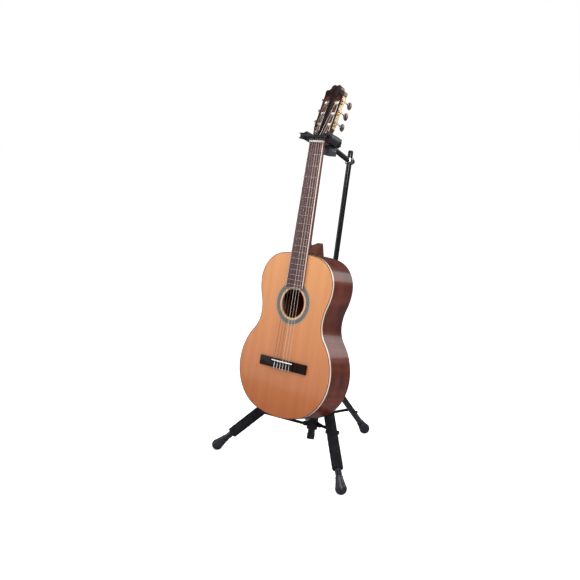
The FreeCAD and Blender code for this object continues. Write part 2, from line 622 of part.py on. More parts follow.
lockAt = size("lock_height")
collarRadius = size("collar_radius")
collar = rod(collarRadius, at(0, 0, size("collar_low")), at(0, 0, size("collar_high")))
for name, azimuth, kind in legs:
    height = size("collar_" + kind)
    lugEnd = plane - 0.5
    headIn = plane + thick + 0.3
    lug = fused(box(2, collarReach, 12, lugEnd, height - 7, height + 7),
                rod(7, at(collarReach, lugEnd - 2.3, height), at(collarReach, lugEnd, height)),
                rod(pinRadius, at(collarReach, 14, height), at(collarReach, headIn + 1.2, height)),
                rod(4.2, at(collarReach, headIn, height), at(collarReach, headIn + 1.5, height)))
    collar = collar.fuse(aroundMast(lug, azimuth))
collar = collar.fuse(rod(6.5, at(0, -14, lockAt), at(0, -23, lockAt)))
collar = collar.cut(rod(lowerRadius + 0.3, at(), at(0, 0, lowerLong)))
collar = collar.cut(rod(pinBore, at(0, 0, lockAt), at(0, -40, lockAt)))
feature("spreader_collar", collar.removeSplitter(), mastFrame)
plunger = rod(pinRadius, at(0, -lowerRadius - 0.5, lockAt), at(0, -26, lockAt))
feature("lock_pin", fused(plunger, rod(6, at(0, -23.4, lockAt), at(0, -33, lockAt))), mastFrame)

for name, azimuth, kind in legs:
    angle = size(kind + "_angle")
    long = size(kind + "_long")
    pinAt = size(kind + "_pin_at")
    around = mastFrame.multiply(place(axis=(0, 0, 1), angle=azimuth))
    legFrame = around.multiply(place(reach, 0, hubHeight, (0, 1, 0), 180 - angle))
    tubeEnd = long - 8
    tongue = fused(box(-8, 8, -4, 4, 0, 22), rod(8, at(0, -4, 0), at(0, 4, 0)))
    tube = rod(legRadius, at(0, 0, 14), at(0, 0, tubeEnd))
    stub = rod(4, at(0, -plane + 0.5, pinAt), at(0, plane - 0.5, pinAt))
    head = rod(5, at(0, -plane - 1.3, pinAt), at(0, -plane + 0.9, pinAt))
    leg = fused(tongue, tube, stub, head).cut(rod(pinBore, at(0, -20, 0), at(0, 20, 0)))
    feature("leg_" + name, leg, legFrame)
    if kind == "front":
        foam = rod(size("foam_radius"), at(0, 0, size("foam_start")), at(0, 0, size("foam_end")))
        foam = foam.cut(rod(legRadius, at(), at(0, 0, long)))
        foam = foam.cut(rod(4, at(0, -30, pinAt), at(0, 30, pinAt)))
        feature("foam_" + name, foam, legFrame)
    foot = Part.makeSphere(size("foot_radius"), at(0, 0, long))
    foot = foot.fuse(rod(size("foot_sleeve"), at(0, 0, long - 48), at(0, 0, long)))
    foot = foot.cut(rod(legRadius, at(), at(0, 0, tubeEnd)))
    floor = box(-900, 900, -900, 900, -100, 0)
    floor.Placement = legFrame.inverse().multiply(floor.Placement)
    feature("foot_" + name, foot.cut(floor).removeSplitter(), legFrame)

    # the brace between the collar's lug and the leg's stub
    height = size("collar_" + kind)
    turn = math.radians(angle)
    across = reach + pinAt * math.sin(turn) - collarReach
    up = hubHeight - pinAt * math.cos(turn) - height
    span = math.hypot(across, up)
    lean = 90 - math.degrees(math.atan2(up, across))
    braceFrame = around.multiply(place(collarReach, 0, height, (0, 1, 0), lean))
    half = size("brace_wide") / 2
    eye = size("eye_radius")
    brace = fused(box(-half, half, plane, plane + thick, 0, span),
                  rod(eye, at(0, plane, 0), at(0, plane + thick, 0)),
                  rod(eye, at(0, plane, span), at(0, plane + thick, span)),
                  rod(4.2, at(0, plane + thick - 0.5, span), at(0, plane + thick + 1.5, span)))
    feature("brace_" + name, brace.cut(rod(pinBore, at(), at(0, 40, 0))), braceFrame)


# checks and files

doc.recompute()
faults = []
for thing in doc.Objects:
    if "Invalid" in thing.State or "Error" in thing.State:
        faults.append("%s %s" % (thing.Name, thing.State))
for node in nodes:
    if node.Shape.isNull() or not node.Shape.isValid():
        faults.append("%s has no valid shape" % node.Label)
if faults:
    raise RuntimeError("; ".join(faults))
os.makedirs("parts", exist_ok=True)
for node in nodes:
    node.Shape.exportStep("parts/%s.step" % node.Label)
print("%d nodes written" % len(nodes))
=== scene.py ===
import json
import math

import bmesh
import bpy
from mathutils import Matrix, Vector
from mathutils.bvhtree import BVHTree


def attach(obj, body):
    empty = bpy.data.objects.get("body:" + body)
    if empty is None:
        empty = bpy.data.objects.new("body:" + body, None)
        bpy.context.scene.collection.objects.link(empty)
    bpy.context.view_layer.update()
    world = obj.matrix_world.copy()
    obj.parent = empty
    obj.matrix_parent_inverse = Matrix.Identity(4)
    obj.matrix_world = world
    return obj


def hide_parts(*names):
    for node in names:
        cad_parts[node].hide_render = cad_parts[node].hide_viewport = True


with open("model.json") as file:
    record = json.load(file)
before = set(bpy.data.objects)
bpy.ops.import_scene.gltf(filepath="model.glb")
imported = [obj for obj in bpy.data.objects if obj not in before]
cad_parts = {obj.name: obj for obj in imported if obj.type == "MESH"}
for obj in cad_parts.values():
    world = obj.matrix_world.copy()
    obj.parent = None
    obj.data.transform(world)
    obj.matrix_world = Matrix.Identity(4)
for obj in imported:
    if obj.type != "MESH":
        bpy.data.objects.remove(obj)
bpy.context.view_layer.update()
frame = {"nodes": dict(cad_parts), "record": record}
nodes = frame["nodes"]
mm = 0.001

# the guitar, its tilted head and the mast each have a leaning frame of their own
pose = {"guitarLean": 13.02, "guitarY": -176.5, "saddleHeight": 327.5, "headTilt": 15.5,
        "scaleLength": 650, "soundhole": 175, "mastLean": 11.7, "mastY": -55.8, "mastFoot": 58.7}


def leaning(angle, y, z):
    return Matrix.Translation((0, y * mm, z * mm)) @ Matrix.Rotation(math.radians(-angle), 4, "X")


guitarFrame = leaning(pose["guitarLean"], pose["guitarY"], pose["saddleHeight"])
headFrame = guitarFrame @ leaning(pose["headTilt"], -2, pose["scaleLength"] + 1)
mastFrame = leaning(pose["mastLean"], pose["mastY"], pose["mastFoot"])


def node(tree, kind, inputs=None, **settings):
    made = tree.nodes.new("ShaderNode" + kind)
    for name, value in settings.items():
        setattr(made, name, value)
    for name, value in (inputs or {}).items():
        if isinstance(value, bpy.types.NodeSocket):
            tree.links.new(value, made.inputs[name])
        else:
            made.inputs[name].default_value = value
    return made


# camera, lights and floor
cameraSet = {"place": (1.8334, -2.1516, 1.1114), "aim": (-0.66089, 0.72162, -0.20613), "lens": 59.02,
             "sensor": 36}
cameraData = bpy.data.cameras.new("camera")
cameraData.lens = cameraSet["lens"]
cameraData.sensor_width = cameraSet["sensor"]
camera = bpy.data.objects.new("camera", cameraData)
camera.location = cameraSet["place"]
camera.rotation_euler = Vector(cameraSet["aim"]).to_track_quat("-Z", "Y").to_euler()
bpy.context.scene.collection.objects.link(camera)
bpy.context.scene.camera = camera

lampAim = Vector((0, 0, 0.55))
floorReach = 14
studio = {
    "key": {"place": (1.9, -1.5, 2.0), "size": 1.2, "power": 34},
    "top": {"place": (0.0, -0.4, 2.9), "size": 2.4, "power": 40},
    "fill": {"place": (-2.0, -1.6, 1.3), "size": 2.0, "power": 10},
    "rim": {"place": (1.2, 2.0, 1.6), "size": 1.4, "power": 14},
}
for name, lamp in studio.items():
    light = bpy.data.lights.new(name, "AREA")
    light.size = lamp["size"]
    light.energy = lamp["power"]
    holder = bpy.data.objects.new(name, light)
    holder.location = lamp["place"]
    holder.rotation_euler = (lampAim - Vector(lamp["place"])).to_track_quat("-Z", "Y").to_euler()
    bpy.context.scene.collection.objects.link(holder)
world = bpy.data.worlds.new("studio")
bpy.context.scene.world = world
world.use_nodes = True
sky = world.node_tree
backdrop = sky.nodes["Background"]
backdrop.inputs["Color"].default_value = (1, 1, 1, 1)
# white behind the object, soft light on it and a darker room in its reflections
rays = node(sky, "LightPath").outputs
ambient = node(sky, "MapRange", {"Value": rays["Is Glossy Ray"], "To Min": 0.55, "To Max": 0.08}).outputs[0]
brightness = node(sky, "Math", {0: rays["Is Camera Ray"], 1: ambient}, operation="MAXIMUM").outputs[0]
sky.links.new(brightness, backdrop.inputs["Strength"])
bpy.context.scene.view_settings.view_transform = "Standard"

floorMesh = bpy.data.meshes.new("floor")
floorShape = bmesh.new()
bmesh.ops.create_grid(floorShape, x_segments=1, y_segments=1, size=floorReach)
floorShape.to_mesh(floorMesh)
floorShape.free()
floor = bpy.data.objects.new("floor", floorMesh)
bpy.context.scene.collection.objects.link(floor)
print("stage set")


# materials

def blank(name, **sockets):
    # a material with a plain Principled shader, and its constant values
    material = bpy.data.materials.new(name)
    material.use_nodes = True
    shader = material.node_tree.nodes["Principled BSDF"]
    for socket, value in sockets.items():
        shader.inputs[socket.replace("_", " ")].default_value = value
    return material, material.node_tree, shader


def placeIn(tree, matrix):
    # object coordinates turned into one of the leaning frames
    coords = node(tree, "TexCoord")
    back = matrix.inverted()
    mapping = node(tree, "Mapping", {"Vector": coords.outputs["Object"]})
    mapping.inputs["Location"].default_value = back.translation
    mapping.inputs["Rotation"].default_value = back.to_euler()
    return mapping.outputs["Vector"]


def ramp(tree, factor, stops):
    made = node(tree, "ValToRGB", {"Fac": factor})
    while len(made.color_ramp.elements) < len(stops):
        made.color_ramp.elements.new(0.5)
    for element, (position, color) in zip(made.color_ramp.elements, stops):
        element.position = position
        element.color = (*color, 1)
    return made.outputs["Color"]


def mixed(tree, factor, first, second, mode="MIX"):
    made = node(tree, "Mix", data_type="RGBA", blend_type=mode)
    for index, value in ((0, factor), (6, first), (7, second)):
        if isinstance(value, bpy.types.NodeSocket):
            tree.links.new(value, made.inputs[index])
        else:
            made.inputs[index].default_value = value if index == 0 else (*value, 1)
    return made.outputs[2]


def figureGroup():
    # wood figure shared by every timber: fine grain lines over slow streaks, all along local Z
    tree = bpy.data.node_groups.new("woodFigure", "ShaderNodeTree")
    face = tree.interface
    face.new_socket("Vector", in_out="INPUT", socket_type="NodeSocketVector")
    for name, value in (("Lines", 300.0), ("Streaks", 40.0), ("Waviness", 0.5)):
        face.new_socket(name, in_out="INPUT", socket_type="NodeSocketFloat").default_value = value
    for name in ("Grain", "Streak"):
        face.new_socket(name, in_out="OUTPUT", socket_type="NodeSocketFloat")
    entry = tree.nodes.new("NodeGroupInput")
    leave = tree.nodes.new("NodeGroupOutput")
    flat = node(tree, "VectorMath", {0: entry.outputs["Vector"], 1: (1, 1, 0.05)}, operation="MULTIPLY")
    slow = node(tree, "TexNoise", {"Vector": flat.outputs[0], "Scale": entry.outputs["Streaks"],
                                   "Detail": 4.0})
    shift = node(tree, "Math", {0: slow.outputs["Fac"], 1: entry.outputs["Waviness"]}, operation="MULTIPLY")
    parts = node(tree, "SeparateXYZ", {"Vector": flat.outputs[0]})
    across = node(tree, "Math", {0: parts.outputs["X"], 1: entry.outputs["Lines"]}, operation="MULTIPLY")
    bent = node(tree, "Math", {0: across.outputs[0], 1: shift.outputs[0]}, operation="ADD")
    lines = node(tree, "CombineXYZ", {"X": bent.outputs[0]})
    fine = node(tree, "TexNoise", {"Vector": lines.outputs[0], "Scale": 1.0, "Detail": 3.0})
    tree.links.new(fine.outputs["Fac"], leave.inputs["Grain"])
    tree.links.new(slow.outputs["Fac"], leave.inputs["Streak"])
    return tree


def wearGroup():
    # faint mottling and dust for plain finishes
    tree = bpy.data.node_groups.new("handling", "ShaderNodeTree")
    face = tree.interface
    face.new_socket("Vector", in_out="INPUT", socket_type="NodeSocketVector")
    face.new_socket("Scale", in_out="INPUT", socket_type="NodeSocketFloat").default_value = 60
    face.new_socket("Coarse", in_out="OUTPUT", socket_type="NodeSocketFloat")
    face.new_socket("Fine", in_out="OUTPUT", socket_type="NodeSocketFloat")
    entry = tree.nodes.new("NodeGroupInput")
    leave = tree.nodes.new("NodeGroupOutput")
    coarse = node(tree, "TexNoise", {"Vector": entry.outputs["Vector"], "Scale": entry.outputs["Scale"],
                                     "Detail": 5.0})
    closer = node(tree, "Math", {0: entry.outputs["Scale"], 1: 14.0}, operation="MULTIPLY")
    fine = node(tree, "TexNoise", {"Vector": entry.outputs["Vector"], "Scale": closer.outputs[0],
                                   "Detail": 2.0})
    tree.links.new(coarse.outputs["Fac"], leave.inputs["Coarse"])
    tree.links.new(fine.outputs["Fac"], leave.inputs["Fine"])
    return tree


figure = figureGroup()
handling = wearGroup()


def figured(tree, vector, lines, streaks, waviness):
    made = tree.nodes.new("ShaderNodeGroup")
    made.node_tree = figure
    tree.links.new(vector, made.inputs["Vector"])
    made.inputs["Lines"].default_value = lines
    made.inputs["Streaks"].default_value = streaks
    made.inputs["Waviness"].default_value = waviness
    return made.outputs["Grain"], made.outputs["Streak"]


def handled(tree, vector, scale):
    made = tree.nodes.new("ShaderNodeGroup")
    made.node_tree = handling
    tree.links.new(vector, made.inputs["Vector"])
    made.inputs["Scale"].default_value = scale
    return made.outputs["Coarse"], made.outputs["Fine"]


def bumped(tree, shader, height, strength, distance=0.0002):
    bump = node(tree, "Bump", {"Height": height, "Strength": strength, "Distance": distance})
    tree.links.new(bump.outputs["Normal"], shader.inputs["Normal"])


def timber(name, dark, light, lines, streaks, waviness, rough, coat, grainShare):
    # a wood with its grain along the guitar
    material, tree, shader = blank(name, Roughness=rough, Coat_Weight=coat, Coat_Roughness=0.06)
    vector = placeIn(tree, guitarFrame)
    grain, streak = figured(tree, vector, lines, streaks, waviness)
    blend = node(tree, "Mix", data_type="FLOAT")
    blend.inputs[0].default_value = grainShare
    tree.links.new(streak, blend.inputs[2])
    tree.links.new(grain, blend.inputs[3])
    color = ramp(tree, blend.outputs[0], [(0.36, dark), (0.64, light)])
    tree.links.new(color, shader.inputs["Base Color"])
    bumped(tree, shader, grain, 0.12)
    return material, tree, shader, vector, color


def plain(name, color, rough, metallic=0.0, coat=0.0, scale=60, spread=0.18, bump=0.1, matrix=None):
    # painted metal, plastic or rubber with faint mottling
    material, tree, shader = blank(name, Metallic=metallic, Coat_Weight=coat, Coat_Roughness=0.08)
    vector = placeIn(tree, matrix or mastFrame)
    coarse, fine = handled(tree, vector, scale)
    darker = tuple(c * (1 - spread) for c in color)
    lighter = tuple(min(1, c * (1 + spread) + 0.002) for c in color)
    tree.links.new(ramp(tree, coarse, [(0.35, darker), (0.65, lighter)]), shader.inputs["Base Color"])
    roughness = node(tree, "MapRange", {"Value": fine, "To Min": max(0.02, rough - 0.05),
                                        "To Max": rough + 0.07})
    tree.links.new(roughness.outputs[0], shader.inputs["Roughness"])
    bumped(tree, shader, fine, bump)
    return material


def topWood():
    # cedar under gloss, its colour multiplied darker and redder from the neck end towards the tail
    material, tree, shader, vector, color = timber(
        "cedarTop", (0.60, 0.235, 0.075), (0.72, 0.315, 0.105), lines=1400, streaks=32, waviness=5.0,
        rough=0.3, coat=0.8, grainShare=0.45)
    place = node(tree, "SeparateXYZ", {"Vector": vector})
    low = node(tree, "MapRange", {"Value": place.outputs["Z"], "From Min": -0.16, "From Max": 0.33})
    tint = ramp(tree, low.outputs[0], [(0.0, (0.56, 0.37, 0.31)), (0.45, (0.84, 0.70, 0.62)),
                                   (1.0, (1.0, 1.0, 1.0))])
    tree.links.new(mixed(tree, 1.0, color, tint, "MULTIPLY"), shader.inputs["Base Color"])
    return material


def rosetteInlay():
    # concentric lines either side of a mosaic band, which lies between these shares of the ring's width
    bandEnds = (0.22, 0.80)
    ringEnds = (0.046, 0.066)
    material, tree, shader = blank("rosetteInlay", Roughness=0.3, Coat_Weight=1.0, Coat_Roughness=0.06)
    vector = placeIn(tree, guitarFrame @ Matrix.Translation((0, 0, pose["soundhole"] * mm)))
    parts = node(tree, "SeparateXYZ", {"Vector": vector})
    disc = node(tree, "CombineXYZ", {"X": parts.outputs["X"], "Y": parts.outputs["Z"]})
    radius = node(tree, "VectorMath", {0: disc.outputs[0]}, operation="LENGTH").outputs["Value"]
    share = node(tree, "MapRange", {"Value": radius, "From Min": ringEnds[0],
                                    "From Max": ringEnds[1]}).outputs[0]
    turn = node(tree, "Math", {0: parts.outputs["X"], 1: parts.outputs["Z"]}, operation="ARCTAN2").outputs[0]
    around = node(tree, "Math", {0: turn, 1: 34.0}, operation="MULTIPLY").outputs[0]
    outward = node(tree, "Math", {0: radius, 1: 900.0}, operation="MULTIPLY").outputs[0]
    tiles = node(tree, "CombineXYZ", {"X": around, "Y": outward}).outputs[0]
    checks = node(tree, "TexChecker", {"Vector": tiles, "Scale": 1.0, "Color1": (0.19, 0.15, 0.125, 1),
                                       "Color2": (0.045, 0.034, 0.03, 1)})
    cells = node(tree, "TexVoronoi", {"Vector": tiles, "Scale": 0.8})
    mosaic = mixed(tree, 0.35, checks.outputs["Color"], cells.outputs["Color"], "SOFT_LIGHT")
    lines = ramp(tree, share, [
        (0.0, (0.75, 0.66, 0.48)), (0.07, (0.06, 0.04, 0.03)), (0.12, (0.72, 0.62, 0.45)),
        (0.17, (0.30, 0.12, 0.06)), (bandEnds[0], (0.30, 0.24, 0.18)), (bandEnds[1], (0.30, 0.24, 0.18)),
        (0.84, (0.07, 0.04, 0.03)), (0.89, (0.66, 0.56, 0.40)), (0.94, (0.10, 0.05, 0.03))])
    lines.node.color_ramp.interpolation = "CONSTANT"
    inner = node(tree, "Math", {0: share, 1: bandEnds[0]}, operation="GREATER_THAN").outputs[0]
    outer = node(tree, "Math", {0: share, 1: bandEnds[1]}, operation="LESS_THAN").outputs[0]
    band = node(tree, "Math", {0: inner, 1: outer}, operation="MULTIPLY").outputs[0]
    tree.links.new(mixed(tree, band, lines, mosaic), shader.inputs["Base Color"])
    return material


def boardWood():
    # rosewood board with a cream strip along each edge
    material, tree, shader, vector, color = timber(
        "rosewoodBoard", (0.060, 0.024, 0.026), (0.165, 0.072, 0.076), lines=1500, streaks=60, waviness=4.0,
        rough=0.36, coat=0.15, grainShare=0.6)
    parts = node(tree, "SeparateXYZ", {"Vector": vector})
    side = node(tree, "Math", {0: parts.outputs["X"]}, operation="ABSOLUTE").outputs[0]
    edge = node(tree, "MapRange", {"Value": parts.outputs["Z"], "From Min": 0.325, "From Max": 0.65,
                                   "To Min": 0.0295, "To Max": 0.0245}, clamp=False).outputs[0]
    outside = node(tree, "Math", {0: side, 1: edge}, operation="GREATER_THAN").outputs[0]
    upper = node(tree, "Math", {0: parts.outputs["Y"], 1: -0.0045}, operation="LESS_THAN").outputs[0]
    strip = node(tree, "Math", {0: outside, 1: upper}, operation="MULTIPLY").outputs[0]
    tree.links.new(mixed(tree, strip, color, (0.80, 0.66, 0.58)), shader.inputs["Base Color"])
    return material


def bindingStrip():
    # a cream strip on the edge, under a thin dark line on the front face
    material, tree, shader = blank("edgeBinding", Roughness=0.25, Coat_Weight=0.8, Coat_Roughness=0.08)
    vector = placeIn(tree, guitarFrame)
    parts = node(tree, "SeparateXYZ", {"Vector": vector})
    front = node(tree, "Math", {0: parts.outputs["Y"], 1: 0.0004}, operation="LESS_THAN").outputs[0]
    coarse = handled(tree, vector, 40)[0]
    cream = ramp(tree, coarse, [(0.35, (0.70, 0.57, 0.44)), (0.65, (0.78, 0.66, 0.53))])
    tree.links.new(mixed(tree, front, cream, (0.07, 0.025, 0.018)), shader.inputs["Base Color"])
    return material


cedar = topWood()
mahogany = timber("mahoganyGloss", (0.050, 0.008, 0.004), (0.175, 0.034, 0.016), lines=160, streaks=22,
                  waviness=2.0, rough=0.34, coat=0.42, grainShare=0.35)[0]
neckWood = timber("neckMahogany", (0.085, 0.020, 0.009), (0.20, 0.055, 0.025), lines=500, streaks=30,
                  waviness=3.0, rough=0.3, coat=0.8, grainShare=0.5)[0]
boardFinish = boardWood()
rosetteFinish = rosetteInlay()
cream = bindingStrip()
ebonised = timber("ebonisedWood", (0.006, 0.002, 0.0015), (0.020, 0.007, 0.005), lines=700, streaks=40,
                  waviness=3.0, rough=0.32, coat=0.0, grainShare=0.5)[0]
ebonised.node_tree.nodes["Principled BSDF"].inputs["Specular IOR Level"].default_value = 0.28
rawWood = timber("rawSpruce", (0.42, 0.25, 0.12), (0.62, 0.42, 0.23), lines=500, streaks=30,
                 waviness=3.0, rough=0.65, coat=0.0, grainShare=0.5)[0]
bone = plain("polishedBone", (0.90, 0.88, 0.84), 0.28, spread=0.05, matrix=guitarFrame)
fretSilver = plain("fretSilver", (0.72, 0.71, 0.68), 0.18, metallic=1.0, scale=300, spread=0.06,
                   matrix=guitarFrame)
brassGold = plain("goldPlate", (0.76, 0.62, 0.40), 0.27, metallic=1.0, scale=150, spread=0.12,
                  matrix=headFrame)
whiteBarrel = plain("whiteBarrel", (0.78, 0.75, 0.68), 0.35, spread=0.05, matrix=headFrame)
pearlButton = plain("darkPearl", (0.085, 0.045, 0.028), 0.16, coat=1.0, scale=160, spread=0.75, bump=0.02,
                    matrix=headFrame)
blackGloss = plain("blackEnamel", (0.006, 0.006, 0.008), 0.16, coat=0.8, scale=80, spread=0.3, bump=0.04)
blackSatin = plain("blackPowder", (0.008, 0.008, 0.010), 0.4, scale=90, spread=0.3, bump=0.25)
blueGrey = plain("smokedEnamel", (0.007, 0.008, 0.012), 0.2, coat=0.8, scale=80, spread=0.2, bump=0.04)
blackPlastic = plain("mouldedBlack", (0.007, 0.007, 0.009), 0.42, scale=120, spread=0.25, bump=0.35)
greyPlastic = plain("mouldedGrey", (0.045, 0.047, 0.062), 0.34, scale=120, spread=0.2, bump=0.3)
bright = plain("brightChrome", (0.78, 0.78, 0.80), 0.12, metallic=1.0, scale=120, spread=0.04, bump=0.03)
rubber = plain("bluishRubber", (0.013, 0.014, 0.021), 0.36, coat=0.35, scale=120, spread=0.15, bump=0.3)
floorPaint, floorTree, floorShader = blank("palePaper", Roughness=0.9)
floorShader.inputs["Emission Color"].default_value = (1, 1, 1, 1)
# the paper stays white towards the horizon without lighting the object
floorRays = node(floorTree, "LightPath").outputs
lifted = node(floorTree, "Math", {0: floorRays["Is Camera Ray"], 1: 0.6}, operation="MULTIPLY")
floorTree.links.new(lifted.outputs[0], floorShader.inputs["Emission Strength"])
floorTree.links.new(mixed(floorTree, floorRays["Is Glossy Ray"], (0.9, 0.9, 0.9), (0.16, 0.15, 0.17)),
                    floorShader.inputs["Base Color"])
floorMesh.materials.append(floorPaint)


def foamSkin():
    # closed-cell foam: deep black, very matt, with a dense fine pit
    material, tree, shader = blank("cellFoam", Roughness=0.95)
    shader.inputs["Specular IOR Level"].default_value = 0.25
    vector = placeIn(tree, mastFrame)
    coarse, fine = handled(tree, vector, 90)
    cells = node(tree, "TexVoronoi", {"Vector": vector, "Scale": 900.0}, feature="F1")
    tree.links.new(ramp(tree, coarse, [(0.35, (0.006, 0.006, 0.008)), (0.65, (0.013, 0.013, 0.017))]),
                   shader.inputs["Base Color"])
    bumped(tree, shader, cells.outputs["Distance"], 0.5, 0.0006)
    return material


foam = foamSkin()
print("materials made")

finishes = {
    "soundboard": cedar, "back_plate": mahogany, "side_bass": mahogany, "side_treble": mahogany,
    "top_binding": cream, "back_binding": mahogany, "rosette": rosetteFinish, "neck": neckWood,
    "head_veneer": ebonised, "fingerboard": boardFinish, "frets": fretSilver, "nut": bone, "bridge": ebonised,
    "saddle": bone, "bass_strings": fretSilver, "treble_strings": bone, "neck_block": rawWood,
    "tail_block": rawWood, "linings": rawWood, "soundboard_braces": rawWood, "back_braces": rawWood,
    "tuner_plates": brassGold, "mast_lower_tube": blackGloss, "mast_upper_tube": blackGloss,
    "mast_cap": blackPlastic, "height_clutch": blackPlastic, "clutch_knob": blackPlastic,
    "yoke_clamp": blackSatin, "yoke_hub": greyPlastic, "yoke_body": blackPlastic, "yoke_pad_left": rubber,
    "yoke_pad_right": rubber, "gate_left": blackPlastic, "gate_right": blackPlastic, "leg_hub": blackSatin,
    "spreader_collar": blackSatin, "lock_pin": bright,
}
families = {"tuner_key": pearlButton, "string_roller": whiteBarrel, "leg_": blueGrey, "brace_": blackSatin,
            "foam_": foam, "foot_": rubber}


def finishOf(name):
    if name in finishes:
        return finishes[name]
    return [finish for start, finish in families.items() if name.startswith(start)][0]


for name, piece in nodes.items():
    if not piece.material_slots:
        piece.data.materials.append(None)
    for place in piece.material_slots:
        place.material = finishOf(name)

print("CAD nodes painted")


# shaping helpers

def addPiece(name, shape, finish, body, replaced=(), matrix=None, sharp=32):
    # turns a bmesh into a finished object at the origin, with its place in its mesh
    if matrix is not None:
        bmesh.ops.transform(shape, matrix=matrix, verts=shape.verts)
    bmesh.ops.remove_doubles(shape, verts=shape.verts, dist=1e-6)
    bmesh.ops.recalc_face_normals(shape, faces=shape.faces)
    mesh = bpy.data.meshes.new(name)
    shape.to_mesh(mesh)
    shape.free()
    mesh.shade_smooth()
    mesh.set_sharp_from_angle(angle=math.radians(sharp))
    mesh.materials.append(finish)
    piece = bpy.data.objects.new(name, mesh)
    bpy.context.scene.collection.objects.link(piece)
    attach(piece, body)
    if replaced:
        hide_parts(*replaced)
    return piece


def bodyOf(name):
    return [body for body, members in frame["record"]["behaviour"]["bodies"].items() if name in members][0]


def refine(name, width, segments=2, sharp=32):
    # a CAD node's own shape, merged and with its sharp edges rounded
    shape = bmesh.new()
    shape.from_mesh(nodes[name].data)
    bmesh.ops.remove_doubles(shape, verts=shape.verts, dist=2e-6)
    bmesh.ops.dissolve_limit(shape, angle_limit=math.radians(0.6), use_dissolve_boundaries=False,
                             verts=shape.verts, edges=shape.edges)
    edges = [edge for edge in shape.edges
             if len(edge.link_faces) == 2 and edge.calc_face_angle(0) > math.radians(sharp)]
    bmesh.ops.bevel(shape, geom=edges, offset=width * mm, offset_type="OFFSET", segments=segments,
                    affect="EDGES", profile=0.5, material=-1, clamp_overlap=True)
    addPiece(name + "_finished", shape, finishOf(name), bodyOf(name), (name,))


def lathe(name, profile, matrix, finish, body, replaced=(), steps=64, closed=False, adjust=None):
    # spins a (radius, height) profile in millimetres round the local Z axis
    shape = bmesh.new()
    corners = [shape.verts.new((radius * mm, 0, height * mm)) for radius, height in profile]
    edges = [shape.edges.new(pair) for pair in zip(corners, corners[1:])]
    if closed:
        edges.append(shape.edges.new((corners[-1], corners[0])))
    bmesh.ops.spin(shape, geom=corners + edges, cent=(0, 0, 0), axis=(0, 0, 1), dvec=(0, 0, 0),
                   angle=math.tau, steps=steps, use_merge=True)
    bmesh.ops.remove_doubles(shape, verts=shape.verts, dist=1e-6)
    if adjust:
        adjust(shape)
    return addPiece(name, shape, finish, body, replaced, matrix)


def roundedProfile(inner, outer, low, high, rounding, steps=4):
    # the cross-section of a sleeve with rounded outer rims
    points = [(inner, low)]
    for corner, first in ((low + rounding, -90), (high - rounding, 0)):
        for step in range(steps + 1):
            angle = math.radians(first + 90 * step / steps)
            points.append((outer - rounding + rounding * math.cos(angle),
                           corner + rounding * math.sin(angle)))
    return points + [(inner, high)]


def wire(name, points, radius, finish, body, matrix, replaced=(), smooth=True):
    # a round wire along points in millimetres, as a curve with a round bevel
    curve = bpy.data.curves.new(name, "CURVE")
    curve.dimensions = "3D"
    curve.bevel_depth = radius * mm
    curve.bevel_resolution = 3
    curve.resolution_u = 4
    curve.use_fill_caps = True
    spline = curve.splines.new("NURBS" if smooth else "POLY")
    spline.points.add(len(points) - 1)
    for target, point in zip(spline.points, points):
        target.co = (*(matrix @ (Vector(point) * mm)), 1)
    if smooth:
        spline.order_u = 3
        spline.use_endpoint_u = True
    curve.materials.append(finish)
    piece = bpy.data.objects.new(name, curve)
    bpy.context.scene.collection.objects.link(piece)
    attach(piece, body)
    if replaced:
        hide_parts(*replaced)


# the guitar

rounding = {"neck": 0.9, "fingerboard": 0.35, "head_veneer": 0.4, "nut": 0.5, "saddle": 0.5, "bridge": 0.9,
            "yoke_clamp": 1.0, "yoke_hub": 4.0, "yoke_body": 2.2, "gate_left": 0.8, "gate_right": 0.8,
            "leg_hub": 0.5, "spreader_collar": 0.5, "clutch_knob": 1.2, "brace_front_left": 0.4,
            "brace_front_right": 0.4, "brace_rear": 0.4, "leg_front_left": 0.4, "leg_front_right": 0.4,
            "leg_rear": 0.4, "lock_pin": 0.6, "mast_cap": 0.8, "height_clutch": 0.8}
for name, width in rounding.items():
    refine(name, width)
print("edges rounded")

